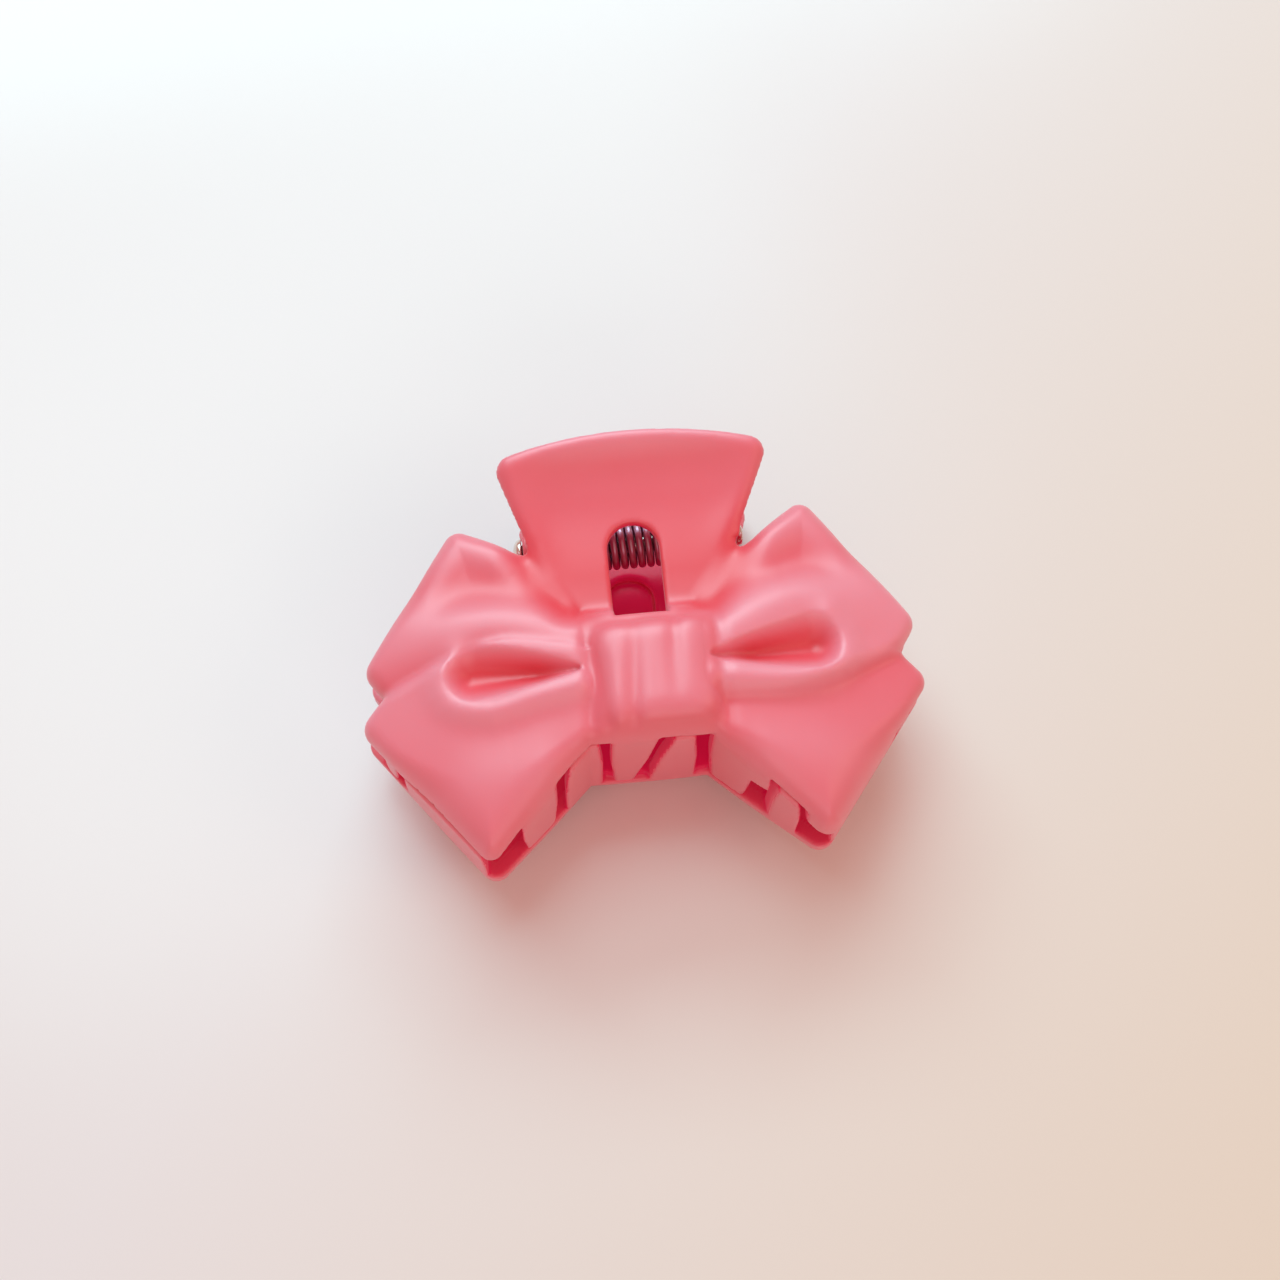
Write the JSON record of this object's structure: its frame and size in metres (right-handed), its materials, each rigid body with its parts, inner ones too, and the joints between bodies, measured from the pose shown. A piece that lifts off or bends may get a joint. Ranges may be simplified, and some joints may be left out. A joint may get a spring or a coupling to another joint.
{
  "type": "bow hair claw clip",
  "caption": "Spring-loaded hair claw clip: two hinged toothed jaws, each moulded as a bow with a fan-shaped finger plate, in soft-touch plastic.",
  "frame": {"origin": "centre of the footprint, on the surface the closed clip lies on", "axes": "+X along the bow, +Y from the teeth towards the finger plates, +Z out through the front jaw's knot"},
  "size_m": [0.0594, 0.0439, 0.024],
  "materials": {
    "soft_touch_plastic": "soft-touch matte pink outside; the uncoated inside is glossy crimson",
    "pin_steel": "bright plated steel",
    "spring_steel": "drawn spring wire"
  },
  "bodies": {
    "back": {"back_jaw": "soft_touch_plastic", "hinge_pin": "pin_steel", "torsion_spring": "spring_steel"},
    "front": {"front_jaw": "soft_touch_plastic"}
  },
  "joints": [
    {"name": "jaw_hinge", "type": "hinge", "parent": "back", "child": "front", "pos_m": [0, 0.013, 0.012], "axis": [-1, 0, 0], "range_deg": [0, 70], "stiffness_Nm_per_rad": 0.08, "springref_deg": -68.75, "deforming": ["torsion_spring"]}
  ]
}
